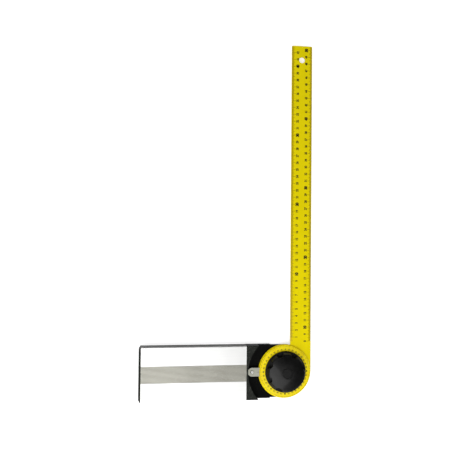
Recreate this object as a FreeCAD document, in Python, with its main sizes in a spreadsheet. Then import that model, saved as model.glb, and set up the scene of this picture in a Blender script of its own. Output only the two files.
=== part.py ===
"""Bevel protractor: a half-metre rule on a hollow aluminium stock, read on a round dial and held by a knob.

Frame: the origin is on the pivot axis in the plane of the stock's back, the stock runs towards -X, the blade
stands along +Y with the protractor set to 90 degrees, and +Z points out of the dial.
Every size is a cell of the sheet "dims"; the pieces are bound to those cells with expressions.
"""
import FreeCAD, Part
import math
import os
import re

import Sketcher
from FreeCAD import Vector

SIZES = [
    # the stock
    ("stock_width", 76.0, "stock, from one working edge to the other"),
    ("stock_depth", 18.0, "stock, from back to front"),
    ("stock_length", 146.5, "aluminium extrusion, cut length"),
    ("skin", 1.8, "extrusion, outer wall"),
    ("web", 1.5, "extrusion, inner webs"),
    ("web_place", 13.0, "centre line to each web"),
    ("edge_round", 1.5, "extrusion, outer corner radius"),
    ("root_round", 0.8, "extrusion, corner radius inside the chambers"),
    ("band_width", 23.0, "grooved band on both faces"),
    ("band_grooves", 15, "grooves in the band"),
    ("groove_width", 0.7, "one groove"),
    ("groove_depth", 0.5, "one groove"),
    ("port_radius", 2.9, "screw port, outside"),
    ("port_bore", 1.5, "screw port, inside"),
    ("port_slot", 1.4, "screw port, open side"),
    ("slip", 0.15, "clearance of a plug or spigot in the extrusion, each side"),
    # the end cap
    ("cap_flange", 3.0, "end cap, flange"),
    ("cap_corner_across", 4.3, "end cap, corner chamfer along the edge of the stock"),
    ("cap_corner_in", 2.4, "end cap, corner chamfer along the length of the stock"),
    ("plug_length", 10.0, "end cap, plugs"),
    ("plug_wall", 1.6, "end cap, wall of a plug"),
    # self-tapping screws
    ("screw_radius", 1.9, "end cap screw, over the thread in the flange"),
    ("screw_length", 14.0, "end cap screw, under the head"),
    ("screw_head", 3.4, "end cap screw, head radius"),
    ("screw_head_high", 1.4, "end cap screw, head height"),
    ("screw_sink", 0.2, "end cap screw, head below the face of the cap"),
    ("head_screw_radius", 2.0, "screws that hold the pivot head"),
    ("head_screw_cone", 3.6, "screws that hold the pivot head, countersunk radius"),
    ("head_screw_length", 9.5, "screws that hold the pivot head"),
    ("head_screw_back", 11.0, "end of the extrusion to those screws"),
    ("head_screw_side", 25.0, "centre line to those screws"),
    ("screw_clear", 0.2, "clearance of a screw in a through hole"),
    ("recess_arm", 3.0, "cross recess, over both arms"),
    ("recess_width", 0.7, "cross recess, one arm"),
    ("recess_depth", 0.8, "cross recess"),
    # the pivot head
    ("floor_level", 7.4, "back of the stock to the floor of the blade pocket"),
    ("blade_pass", 0.65, "room between the pocket's corner and the blade at the end of its swing"),
    ("shoulder", 2.3, "pivot head, thinnest wall between the pocket and the extrusion"),
    ("block_end", 20.7, "pivot axis to the end of the full-width block"),
    ("tongue_step", 1.2, "step from the block down to the tongue"),
    ("spigot_length", 24.0, "pivot head, spigots inside the extrusion"),
    ("spigot_wall", 2.4, "pivot head, wall of a spigot"),
    ("pilot_boss", 4.5, "pivot head, boss round a screw pilot"),
    ("core_depth", 5.0, "pivot head, cores in the back"),
    ("core_wall", 2.4, "pivot head, outer wall round the cores"),
    ("core_rib", 1.6, "pivot head, ribs between the cores"),
    ("core_ribs", 12, "pivot head, ribs round the pivot"),
    ("hub_wall", 4.0, "pivot head, wall round the back recess"),
    # the pivot and the clamp
    ("bush_radius", 8.0, "pivot bush, outside"),
    ("bush_fit", 0.05, "running clearance of the blade on the bush"),
    ("bush_seat_wall", 1.8, "pivot head, wall between bush flange and pocket floor"),
    ("bush_flange", 1.0, "pivot bush, flange thickness"),
    ("bush_short", 0.3, "pivot bush, end below the clamp washer"),
    ("bolt_radius", 4.0, "clamp bolt"),
    ("bolt_fit", 0.1, "clearance of the bolt in the bush"),
    ("thread_fit", 0.06, "running clearance of the insert on the bolt"),
    ("bolt_hex", 13.0, "clamp bolt, across the flats of its low head"),
    ("bolt_head", 3.0, "clamp bolt, head height"),
    ("bolt_length", 17.4, "clamp bolt, under the head"),
    ("bolt_chamfer", 0.8, "clamp bolt, chamfer at its end"),
    ("recess_radius", 14.0, "recess in the back of the head"),
    ("cover_fit", 0.1, "clearance of the cover and the flange in the recess"),
    ("cover_thick", 1.2, "rear cover"),
    ("cover_rim", 1.4, "rear cover, wall of its snap rim"),
    ("washer_thick", 0.6, "fibre washers"),
    ("washer_outer", 31.0, "lower fibre washer, radius"),
    ("washer_inner_play", 0.3, "fibre washers on the bush, radial"),
    ("upper_washer_outer", 18.0, "upper fibre washer, radius"),
    ("press_thick", 1.5, "clamp washer"),
    ("press_gap", 1.5, "clamp washer to the inside of the knob, radial"),
    ("bolt_play", 0.6, "clamp washer and spring washer on the bolt, radial"),
    ("spring_outer", 11.0, "spring washer, radius"),
    ("spring_height", 1.2, "spring washer, free height"),
    ("spring_thick", 0.6, "spring washer, sheet"),
    # the blade and the dial
    ("blade_length", 506.0, "blade, overall"),
    ("blade_width", 30.0, "blade"),
    ("blade_thick", 2.0, "blade"),
    ("bevel_width", 3.7, "blade, bevelled edge"),
    ("bevel_drop", 0.7, "blade, bevelled edge"),
    ("bevel_start", 42.0, "pivot axis to the start of the bevels"),
    ("tip_round", 1.0, "blade, corners of its tip"),
    ("hang_radius", 4.3, "hang hole"),
    ("hang_edge", 20.6, "hang hole to the tip of the blade"),
    ("dial_inset", 1.0, "edge of the blade's round end to the dial"),
    ("dial_thick", 3.0, "dial plate"),
    ("dial_edge", 0.6, "dial plate, chamfer"),
    ("dial_recess", 1.4, "dial plate, depth of its well"),
    ("well_gap", 2.0, "clamp washer to the wall of the well"),
    ("rivet_circle", 21.0, "pivot axis to each dial rivet"),
    ("rivet_radius", 1.5, "dial rivets"),
    ("rivet_head", 2.8, "dial rivets, countersunk radius"),
    ("rivets", 4, "dial rivets"),
    # the knob
    ("knob_radius", 29.0, "knob"),
    ("knob_height", 13.4, "knob, from its rim to the top of its dome"),
    ("knob_gap", 0.6, "dial plate to the knob"),
    ("knob_flange", 3.6, "knob, height of the round rim under the grips"),
    ("knob_lip", 1.4, "knob, width of the rim outside the grips"),
    ("knob_wall", 2.5, "knob, wall"),
    ("grip_draft", 1.0, "knob, draft of the grip"),
    ("grip_height", 8.0, "knob, from its rim to the top of the grip's side"),
    ("grip_round", 3.4, "knob, radius between side and dome"),
    ("crown_fall", 2.1, "knob, top of the dome to the edge of the crown"),
    ("crown_edge", 3.4, "knob, side of the grip to the edge of the crown"),
    ("dome_radius", 70.0, "knob, radius of the crown"),
    ("scallops", 8, "finger scallops"),
    ("scallop_radius", 5.2, "finger scallop"),
    ("scallop_circle", 28.0, "pivot axis to the middle of a scallop"),
    ("scallop_turn", 20.0, "stock's line to the first scallop, in degrees"),
    ("knob_rib", 1.6, "knob, ribs inside"),
    ("rib_rise", 3.0, "knob, rim to the lower edge of the ribs"),
    ("hub_skin", 2.2, "knob, wall round the insert"),
    ("insert_radius", 7.0, "threaded insert"),
    ("insert_length", 8.6, "threaded insert"),
    ("cap_radius", 7.0, "knob cap"),
    ("cap_fit", 0.1, "clearance of the cap in the knob"),
    ("cap_sink", 1.2, "knob cap, depth of its seat"),
    ("cap_rise", 0.2, "knob cap, top above the dome"),
    ("cap_bevel", 0.6, "knob cap, bevel round its top"),
    ("stem_radius", 4.5, "knob cap, stem"),
    # the pointer
    ("pointer_width", 12.0, "pointer"),
    ("pointer_thick", 1.0, "pointer"),
    ("pointer_room", 0.5, "pointer's round end to the shoulder"),
    ("pointer_gap", 0.5, "pointer to the dial"),
    ("pointer_screw", 1.5, "pointer screw"),
    ("pointer_screw_head", 2.6, "pointer screw, head radius"),
    ("pointer_screw_high", 1.3, "pointer screw, head height"),
    ("pointer_screw_long", 7.0, "pointer screw, under the head"),
    ("boss_clear", 0.6, "blade's round end to the pointer's boss"),
]

doc = FreeCAD.newDocument("bevel_protractor")
sheet = doc.addObject("Spreadsheet::Sheet", "dims")
for line, (alias, size, note) in enumerate(SIZES, start=1):
    sheet.set("A%d" % line, note)
    sheet.set("B%d" % line, str(size))
    sheet.setAlias("B%d" % line, alias)
doc.recompute()
ALIASES = re.compile(r"\b(%s)\b" % "|".join(alias for alias, size, note in SIZES))

# Places that several pieces share, worked out from the cells.
HALF = "(stock_width / 2)"
MIDDLE = "(stock_depth / 2)"
POCKET = "sqrt(pow(stock_width / 2; 2) + pow(stock_width / 2 + blade_pass; 2))"
JOINT = f"({POCKET} + shoulder)"
FAR_END = f"({JOINT} + stock_length)"
TONGUE = f"({HALF} - tongue_step)"
BLADE_BACK = "(floor_level + washer_thick)"
BLADE_FACE = f"({BLADE_BACK} + blade_thick)"
BLADE_TIP = f"(blade_length - {HALF})"
DIAL_FACE = f"({BLADE_FACE} + dial_thick)"
DIAL_RADIUS = f"({HALF} - dial_inset)"
WELL_FLOOR = f"({DIAL_FACE} - dial_recess)"
PRESS_BACK = f"({WELL_FLOOR} + washer_thick)"
PRESS_FACE = f"({PRESS_BACK} + press_thick)"
PRESS_RADIUS = "(knob_radius - knob_wall - press_gap)"
WELL_RADIUS = f"({PRESS_RADIUS} + well_gap)"
SPRING_TOP = f"({PRESS_FACE} + spring_height)"
KNOB_RIM = f"({DIAL_FACE} + knob_gap)"
KNOB_TOP = f"({KNOB_RIM} + knob_height)"
INSERT_TOP = f"({SPRING_TOP} + insert_length)"
FLANGE_FACE = "(floor_level - bush_seat_wall)"
FLANGE_BACK = f"({FLANGE_FACE} - bush_flange)"
BOLT_UNDER = FLANGE_BACK
WASHER_INNER = "(bush_radius + washer_inner_play)"
BLADE_BORE = "(bush_radius + bush_fit)"
POINTER_TIP = f"({DIAL_RADIUS} + pointer_gap)"
POINTER_BACK = f"({DIAL_FACE} - pointer_thick)"
POINTER_EYE = f"({POCKET} - pointer_room - pointer_width / 2)"


# ---- sheet, sketches and features ------------------------------------------------------------------

def bind(text):
    """The expression as other objects of the document write it."""
    return ALIASES.sub(r"dims.\1", text)


def value(text):
    """What the expression comes to now."""
    return float(sheet.evalExpression(text))


def new_body(label):
    body = doc.addObject("PartDesign::Body", label)
    body.Label = label
    return body


def new_sketch(body, name, plane="XY_Plane", level="0"):
    """An empty sketch on one of the body's origin planes, raised along the plane's normal."""
    flat = body.newObject("Sketcher::SketchObject", name)
    origin = [piece for piece in body.Origin.OriginFeatures if piece.Role == plane][0]
    flat.AttachmentSupport = (origin, "")
    flat.MapMode = "FlatFace"
    flat.setExpression("AttachmentOffset.Base.z", bind(level))
    return flat


def pin(flat, curve, end, x, y):
    """Dimension one point of a curve from the sketch's origin."""
    for kind, text in (("DistanceX", x), ("DistanceY", y)):
        index = flat.addConstraint(Sketcher.Constraint(kind, -1, 1, curve, end, value(text)))
        flat.setExpression("Constraints[%d]" % index, bind(text))


def size_radius(flat, curve, radius):
    index = flat.addConstraint(Sketcher.Constraint("Radius", curve, value(radius)))
    flat.setExpression("Constraints[%d]" % index, bind(radius))


def arc_between(start, end, radius, side):
    """The short arc from start to end; side is 1 where it turns left and -1 where it turns right."""
    chord = end - start
    across = Vector(-chord.y, chord.x, 0).normalize()
    centre = (start + end) * 0.5 + across * side * math.sqrt(radius ** 2 - (chord.Length / 2) ** 2)
    first, last = (start, end) if side > 0 else (end, start)
    angles = [math.atan2(point.y - centre.y, point.x - centre.x) for point in (first, last)]
    circle_curve = Part.Circle(centre, Vector(0, 0, 1), radius)
    return Part.ArcOfCircle(circle_curve, angles[0], angles[1])


def outline(flat, corners):
    """A closed outline. A corner is (x, y), or (x, y, radius, side) where an arc leads to the next one."""
    points = [Vector(value(corner[0]), value(corner[1]), 0) for corner in corners]
    ends = []
    for index, corner in enumerate(corners):
        start, end = points[index], points[(index + 1) % len(points)]
        if len(corner) == 2:
            curve = flat.addGeometry(Part.LineSegment(start, end))
            ends.append((curve, 1, 2))
        else:
            curve = flat.addGeometry(arc_between(start, end, value(corner[2]), corner[3]))
            ends.append((curve, 1, 2) if corner[3] > 0 else (curve, 2, 1))
            size_radius(flat, curve, corner[2])
    for index, (curve, first, last) in enumerate(ends):
        follower, joined, unused = ends[(index + 1) % len(ends)]
        flat.addConstraint(Sketcher.Constraint("Coincident", curve, last, follower, joined))
        pin(flat, curve, first, corners[index][0], corners[index][1])


def rectangle(flat, left, low, right, high):
    outline(flat, [(left, low), (right, low), (right, high), (left, high)])


def circle(flat, x, y, radius):
    curve = flat.addGeometry(Part.Circle(Vector(value(x), value(y), 0), Vector(0, 0, 1), value(radius)))
    pin(flat, curve, 3, x, y)
    size_radius(flat, curve, radius)


def cross(flat, x, y):
    """The outline of a cross recess round (x, y)."""
    arm, width = "recess_arm / 2", "recess_width / 2"
    quarter = [(arm, f"-{width}"), (arm, width), (width, width)]
    corners = []
    for turn in range(4):
        for across, along in quarter:
            corners.append((f"{x} + {across}", f"{y} + {along}"))
        quarter = [(f"-({along})", across) for across, along in quarter]
    outline(flat, corners)


def feature(body, kind, flat, **settings):
    """One feature from a sketch; text settings are expressions. Stops if it changes nothing."""
    before = body.Shape.Volume if body.Tip else 0.0
    made = body.newObject("PartDesign::" + kind, kind)
    made.Profile = flat
    for name, setting in settings.items():
        if isinstance(setting, str):
            made.setExpression(name, bind(setting))
        else:
            setattr(made, name, setting)
    doc.recompute()
    change = body.Shape.Volume - before
    if abs(change) < 1e-6 or (change < 0) != (kind in ("Pocket", "Groove")):
        raise RuntimeError("%s of %s changed the volume by %g" % (kind, body.Label, change))
    return made


def pad(body, flat, length, **settings):
    return feature(body, "Pad", flat, Length=length, **settings)


def pocket(body, flat, length, **settings):
    return feature(body, "Pocket", flat, Length=length, **settings)


def revolve(body, flat, axis="V_Axis"):
    return feature(body, "Revolution", flat, ReferenceAxis=(flat, [axis]), Angle=360)


def groove(body, flat, axis="V_Axis"):
    return feature(body, "Groove", flat, ReferenceAxis=(flat, [axis]), Angle=360)


def around(body, originals, flat, count, axis="N_Axis"):
    """Repeat features evenly round an axis of the sketch."""
    pattern = body.newObject("PartDesign::PolarPattern", "around")
    pattern.Originals = originals
    pattern.Axis = (flat, [axis])
    pattern.Angle = 360
    pattern.setExpression("Occurrences", bind(count))
    body.Tip = pattern
    doc.recompute()
    return pattern


def mirrored(body, originals, plane="XZ_Plane"):
    """Repeat features on the other side of one of the body's origin planes."""
    pattern = body.newObject("PartDesign::Mirrored", "mirrored")
    pattern.Originals = originals
    mirror = [piece for piece in body.Origin.OriginFeatures if piece.Role == plane][0]
    pattern.MirrorPlane = (mirror, [""])
    body.Tip = pattern
    doc.recompute()
    return pattern


def dress(body, kind, size_name, size, chosen):
    """A Fillet or Chamfer on the edges of the body for which chosen(edge) is true."""
    base = body.Tip
    names = ["Edge%d" % number for number, edge in enumerate(base.Shape.Edges, start=1) if chosen(edge)]
    if not names:
        raise RuntimeError("no edge to dress on " + body.Label)
    made = body.newObject("PartDesign::" + kind, kind)
    made.Base = (base, names)
    made.setExpression(size_name, bind(size))
    doc.recompute()
    return made


def runs_along(edge, axis):
    """Whether an edge is a straight line along x, y or z."""
    if edge.Curve.TypeId != "Part::GeomLine":
        return False
    return abs(abs(getattr(edge.Curve.Direction, axis)) - 1) < 1e-6


def turned(body, name, level, foot, direction, steps):
    """Turn a fastener: steps are (distance from the foot, radius) up its axis, in a plane along XZ.

    direction is (1, 0), (0, 1) or (0, -1); level is the distance of the plane towards -Y.
    """
    flat = new_sketch(body, name, "XZ_Plane", level)
    corners = []
    for distance, radius in [(steps[0][0], "0")] + steps + [(steps[-1][0], "0")]:
        if direction[0]:
            corners.append((f"{foot[0]} + {distance}", f"{foot[1]} + {radius}"))
        else:
            sign = "+" if direction[1] > 0 else "-"
            corners.append((f"{foot[0]} + {radius}", f"{foot[1]} {sign} ({distance})"))
    outline(flat, corners)
    start = Vector(value(foot[0]), value(foot[1]), 0)
    axis = flat.addGeometry(Part.LineSegment(start, start + Vector(direction[0], direction[1], 0)), True)
    pin(flat, axis, 1, foot[0], foot[1])
    pin(flat, axis, 2, f"{foot[0]} + {direction[0]}", f"{foot[1]} + {direction[1]}")
    return feature(body, "Revolution", flat, ReferenceAxis=(flat, ["Axis0"]), Angle=360)


def flat_ring(label, inner, outer, level, thickness):
    body = new_body(label)
    flat = new_sketch(body, label + "_outline", level=level)
    circle(flat, "0", "0", outer)
    circle(flat, "0", "0", inner)
    pad(body, flat, thickness)


# ---- the stock ---------------------------------------------------------------------------------------

def stock_extrusion():
    """Three-chamber aluminium extrusion with two screw ports and a grooved band on both faces."""
    body = new_body("stock_extrusion")
    start = f"-{FAR_END}"
    section = new_sketch(body, "stock_section", "YZ_Plane", start)
    rectangle(section, f"-{HALF}", "0", HALF, "stock_depth")
    pad(body, section, "stock_length")
    dress(body, "Fillet", "Radius", "edge_round", lambda edge: runs_along(edge, "x"))

    chambers = new_sketch(body, "chambers", "YZ_Plane", start)
    inner, outer = "(web_place - web / 2)", "(web_place + web / 2)"
    wall = f"({HALF} - skin)"
    for left, right in ((f"-{wall}", f"-{outer}"), (f"-{inner}", inner), (outer, wall)):
        rectangle(chambers, left, "skin", right, "stock_depth - skin")
    pocket(body, chambers, "stock_length", Reversed=True)
    inside = value(wall) + 0.01
    dress(body, "Fillet", "Radius", "root_round",
          lambda edge: runs_along(edge, "x") and abs(edge.CenterOfMass.y) < inside
          and abs(edge.CenterOfMass.z - value(MIDDLE)) < value(MIDDLE) - value("skin") + 0.01)

    ports = new_sketch(body, "ports", "YZ_Plane", start)
    for side in ("-", ""):
        circle(ports, f"{side}web_place", MIDDLE, "port_radius")
    pad(body, ports, "stock_length")
    bores = new_sketch(body, "port_bores", "YZ_Plane", start)
    for side in ("-", ""):
        circle(bores, f"{side}web_place", MIDDLE, "port_bore")
    pocket(body, bores, "stock_length", Reversed=True)
    slots = new_sketch(body, "port_slots", "YZ_Plane", start)
    low, high = f"{MIDDLE} - port_slot / 2", f"{MIDDLE} + port_slot / 2"
    rectangle(slots, "web_place - port_radius - slip", low, "web_place", high)
    rectangle(slots, "-web_place", low, "-web_place + port_radius + slip", high)
    pocket(body, slots, "stock_length", Reversed=True)

    band = new_sketch(body, "first_grooves", "YZ_Plane", start)
    left, right = "-band_width / 2", "-band_width / 2 + groove_width"
    rectangle(band, left, "stock_depth - groove_depth", right, "stock_depth")
    rectangle(band, left, "0", right, "groove_depth")
    cut = pocket(body, band, "stock_length", Reversed=True)
    rows = body.newObject("PartDesign::LinearPattern", "grooves")
    rows.Originals = [cut]
    rows.Direction = (band, ["H_Axis"])
    rows.setExpression("Length", bind("band_width - groove_width"))
    rows.setExpression("Occurrences", bind("band_grooves"))
    body.Tip = rows
    doc.recompute()

    holes = new_sketch(body, "head_screw_holes")
    sinks = new_sketch(body, "head_screw_sinks")
    for side in ("-", ""):
        place = (f"-{JOINT} - head_screw_back", f"{side}head_screw_side")
        circle(holes, *place, "head_screw_radius + screw_clear")
        circle(sinks, *place, "head_screw_cone + screw_clear")
    pocket(body, holes, "skin", Reversed=True)
    pocket(body, sinks, "head_screw_cone - head_screw_radius", Reversed=True, TaperAngle=-45)


def end_cap():
    """Moulded cap with chamfered corners and three hollow plugs that pass between the screw ports."""
    body = new_body("end_cap")
    outer, inner = f"-{FAR_END} - cap_flange", f"-{FAR_END}"
    flange = new_sketch(body, "flange")
    outline(flange, [
        (inner, f"-{HALF}"), (inner, HALF),
        (f"{outer} + cap_corner_in", HALF), (outer, f"{HALF} - cap_corner_across"),
        (outer, f"-{HALF} + cap_corner_across"), (f"{outer} + cap_corner_in", f"-{HALF}")])
    pad(body, flange, "stock_depth")
    edge = value(outer) + 0.01
    dress(body, "Fillet", "Radius", "root_round",
          lambda line: not runs_along(line, "z") and line.BoundBox.XMax < edge)

    port_side = "(port_radius + slip)"
    spans = [(f"-{HALF} + skin + slip", f"-web_place - {port_side}"),
             (f"-web_place + {port_side}", f"web_place - {port_side}"),
             (f"web_place + {port_side}", f"{HALF} - skin - slip")]
    plugs = new_sketch(body, "plugs", "YZ_Plane", inner)
    hollows = new_sketch(body, "plug_hollows", "YZ_Plane", f"{inner} + plug_length")
    for left, right in spans:
        rectangle(plugs, left, "skin + slip", right, "stock_depth - skin - slip")
        rectangle(hollows, f"{left} + plug_wall", "skin + slip + plug_wall",
                  f"{right} - plug_wall", "stock_depth - skin - slip - plug_wall")
    pad(body, plugs, "plug_length")
    inside = value(inner) + 0.01
    dress(body, "Fillet", "Radius", "root_round",
          lambda line: runs_along(line, "x") and line.BoundBox.XMax > inside)
    pocket(body, hollows, "plug_length")

    holes = new_sketch(body, "cap_screw_holes", "YZ_Plane", outer)
    for side in ("-", ""):
        circle(holes, f"{side}web_place", MIDDLE, "screw_radius + screw_clear")
    pocket(body, holes, "cap_flange", Reversed=True)
    seats = new_sketch(body, "cap_screw_seats", "YZ_Plane", outer)
    for side in ("-", ""):
        circle(seats, f"{side}web_place", MIDDLE, "screw_head + screw_clear")
    pocket(body, seats, "screw_head_high + screw_sink", Reversed=True)


def end_cap_screws():
    """Two self-tapping screws sunk in the cap along the stock, thinner where they cut into the ports."""
    body = new_body("end_cap_screws")
    foot = (f"-{FAR_END} - cap_flange + screw_sink", MIDDLE)
    under, flange_end = "screw_head_high", "cap_flange - screw_sink"
    screw = turned(body, "cap_screw", "web_place", foot, (1, 0), [
        ("0", "screw_head * 0.7"), ("screw_head_high * 0.6", "screw_head"), (under, "screw_head"),
        (under, "screw_radius"), (flange_end, "screw_radius"),
        (flange_end, "port_bore"), (f"{under} + screw_length - port_bore", "port_bore"),
        (f"{under} + screw_length", "port_bore * 0.2")])
    slot = new_sketch(body, "cap_screw_recess", "YZ_Plane", foot[0])
    cross(slot, "-web_place", MIDDLE)
    recess = pocket(body, slot, "recess_depth", Reversed=True)
    mirrored(body, [screw, recess])


# ---- the pivot head ----------------------------------------------------------------------------------

def pivot_head():
    """Moulded head: a shoulder cut to an arc round the pivot, a thin tongue under the dial, three
    spigots in the extrusion, and a cored, ribbed back."""
    body = new_body("pivot_head")
    block = new_sketch(body, "block")
    rectangle(block, f"-{JOINT}", f"-{HALF}", "-block_end", HALF)
    pad(body, block, "stock_depth")
    dress(body, "Fillet", "Radius", "edge_round", lambda edge: runs_along(edge, "x"))
    tongue = new_sketch(body, "tongue")
    rectangle(tongue, "-block_end - shoulder", f"-{TONGUE}", "0", TONGUE)
    pad(body, tongue, "floor_level")
    nose = new_sketch(body, "nose")
    circle(nose, "0", "0", TONGUE)
    pad(body, nose, "floor_level")
    sweep = new_sketch(body, "blade_pocket", level="stock_depth")
    circle(sweep, "0", "0", POCKET)
    pocket(body, sweep, "stock_depth - floor_level")

    boss = new_sketch(body, "pointer_boss", level="floor_level")
    rectangle(boss, f"-{POCKET} - shoulder / 2", "-pointer_width / 2",
              f"-{HALF} - boss_clear", "pointer_width / 2")
    pad(body, boss, f"{POINTER_BACK} - floor_level")
    pilot = new_sketch(body, "pointer_pilot", level=POINTER_BACK)
    circle(pilot, f"-{POINTER_EYE}", "0", "pointer_screw")
    pocket(body, pilot, "pointer_screw_long - pointer_thick + slip")

    spigots(body)
    back_cores(body)
    pivot_seat(body)


def spigots(body):
    """Hollow spigots, one in each chamber, the outer two with a boss for a screw."""
    low, high = "skin + slip", "stock_depth - skin - slip"
    inner, outer = "web_place - port_radius - slip", "web_place + port_radius + slip"
    wall = f"{HALF} - skin - slip"
    spans = [(f"-({wall})", f"-({outer})"), (f"-({inner})", inner), (outer, wall)]
    solid = new_sketch(body, "spigots", "YZ_Plane", f"-{JOINT} - spigot_length")
    hollow = new_sketch(body, "spigot_hollows", "YZ_Plane", f"-{JOINT} - spigot_length")
    for left, right in spans:
        rectangle(solid, left, low, right, high)
        rectangle(hollow, f"{left} + spigot_wall", f"{low} + spigot_wall",
                  f"{right} - spigot_wall", f"{high} - spigot_wall")
    pad(body, solid, "spigot_length")
    inside = value(f"-{JOINT}") - 0.01
    dress(body, "Fillet", "Radius", "root_round",
          lambda edge: runs_along(edge, "x") and edge.BoundBox.XMin < inside)
    pocket(body, hollow, "spigot_length", Reversed=True)
    bosses = new_sketch(body, "pilot_bosses", level=low)
    pilots = new_sketch(body, "pilot_holes", level=low)
    for side in ("-", ""):
        place = (f"-{JOINT} - head_screw_back", f"{side}head_screw_side")
        circle(bosses, *place, "pilot_boss")
        circle(pilots, *place, "head_screw_radius")
    pad(body, bosses, "head_screw_length + spigot_wall - skin")
    pocket(body, pilots, "head_screw_length - skin + slip", Reversed=True)


def back_cores(body):
    """Cores in the back of the tongue and of the block, with ribs left between them."""
    hub = "(recess_radius + hub_wall)"
    rim = f"({TONGUE} - core_wall)"
    annulus = new_sketch(body, "annular_core")
    circle(annulus, "0", "0", rim)
    circle(annulus, "0", "0", hub)
    pocket(body, annulus, "core_depth", Reversed=True)
    rib = new_sketch(body, "core_rib")
    rectangle(rib, f"{hub} - slip", "-core_rib / 2", f"{rim} + slip", "core_rib / 2")
    first = pad(body, rib, "core_depth")
    around(body, [first], rib, "core_ribs")
    block = new_sketch(body, "block_cores")
    left, right = f"-{JOINT} + core_wall", f"-{HALF} - core_wall / 2"
    step = f"({HALF} - core_wall) / 2"
    half_rib = "core_rib / 2"
    for low, high in ((f"-{step} * 2", f"-{step} - {half_rib}"), (f"-{step} + {half_rib}", f"-{half_rib}"),
                      (half_rib, f"{step} - {half_rib}"), (f"{step} + {half_rib}", f"{step} * 2")):
        rectangle(block, left, low, right, high)
    pocket(body, block, "core_depth", Reversed=True)


def pivot_seat(body):
    """The recess in the back for the bush flange, bolt head and cover, and the bore for the bush."""
    recess = new_sketch(body, "back_recess")
    circle(recess, "0", "0", "recess_radius")
    pocket(body, recess, FLANGE_FACE, Reversed=True)
    bore = new_sketch(body, "bush_bore")
    circle(bore, "0", "0", "bush_radius")
    pocket(body, bore, "floor_level", Reversed=True)


def head_screws():
    """Two countersunk screws from the back of the stock into the spigots."""
    body = new_body("head_screws")
    place = f"-{JOINT} - head_screw_back"
    screw = turned(body, "head_screw", "head_screw_side", (place, "0"), (0, 1), [
        ("0", "head_screw_cone"), ("head_screw_cone - head_screw_radius", "head_screw_radius"),
        ("head_screw_length - head_screw_radius", "head_screw_radius"),
        ("head_screw_length", "head_screw_radius * 0.2")])
    slot = new_sketch(body, "head_screw_recess")
    cross(slot, place, "-head_screw_side")
    recess = pocket(body, slot, "recess_depth", Reversed=True)
    mirrored(body, [screw, recess])


# ---- the pivot and its clamp -------------------------------------------------------------------------

def pivot_bush():
    """Flanged steel bush, moulded into the head from the back; the blade turns on it."""
    body = new_body("pivot_bush")
    inner, top = "bolt_radius + bolt_fit", f"{PRESS_BACK} - bush_short"
    section = new_sketch(body, "bush_section", "XZ_Plane")
    outline(section, [
        (inner, FLANGE_BACK), ("recess_radius - cover_fit", FLANGE_BACK),
        ("recess_radius - cover_fit", FLANGE_FACE), ("bush_radius", FLANGE_FACE),
        ("bush_radius", top), (inner, top)])
    revolve(body, section)


def clamp_bolt():
    """Low hexagon-head bolt that comes up through the bush into the knob."""
    body = new_body("clamp_bolt")
    head = new_sketch(body, "bolt_head", level=f"{BOLT_UNDER} - bolt_head")
    corner = "bolt_hex / sqrt(3)"
    outline(head, [(f"{corner} * cos({angle}deg)", f"{corner} * sin({angle}deg)")
                   for angle in range(0, 360, 60)])
    pad(body, head, "bolt_head")
    shank = new_sketch(body, "bolt_shank", level=BOLT_UNDER)
    circle(shank, "0", "0", "bolt_radius")
    pad(body, shank, "bolt_length")
    end = value(f"{BOLT_UNDER} + bolt_length")
    dress(body, "Chamfer", "Size", "bolt_chamfer", lambda edge: edge.BoundBox.ZMin > end - 0.01)


def rear_cover():
    """Snap-in cover over the bolt head, level with the back of the stock."""
    body = new_body("rear_cover")
    disc = new_sketch(body, "cover_disc")
    circle(disc, "0", "0", "recess_radius - cover_fit")
    pad(body, disc, "cover_thick")
    rim = new_sketch(body, "cover_rim_outline")
    circle(rim, "0", "0", "recess_radius - cover_fit")
    circle(rim, "0", "0", "recess_radius - cover_fit - cover_rim")
    pad(body, rim, f"{FLANGE_BACK} - cover_fit")


def spring_washer():
    """Conical spring washer between the clamp washer and the threaded insert."""
    body = new_body("spring_washer")
    inner = "bolt_radius + bolt_play"
    section = new_sketch(body, "spring_section", "XZ_Plane")
    outline(section, [
        ("spring_outer", PRESS_FACE), ("spring_outer", f"{PRESS_FACE} + spring_thick"),
        (inner, SPRING_TOP), (inner, f"{SPRING_TOP} - spring_thick")])
    revolve(body, section)


# ---- the blade and its dial --------------------------------------------------------------------------

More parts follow.
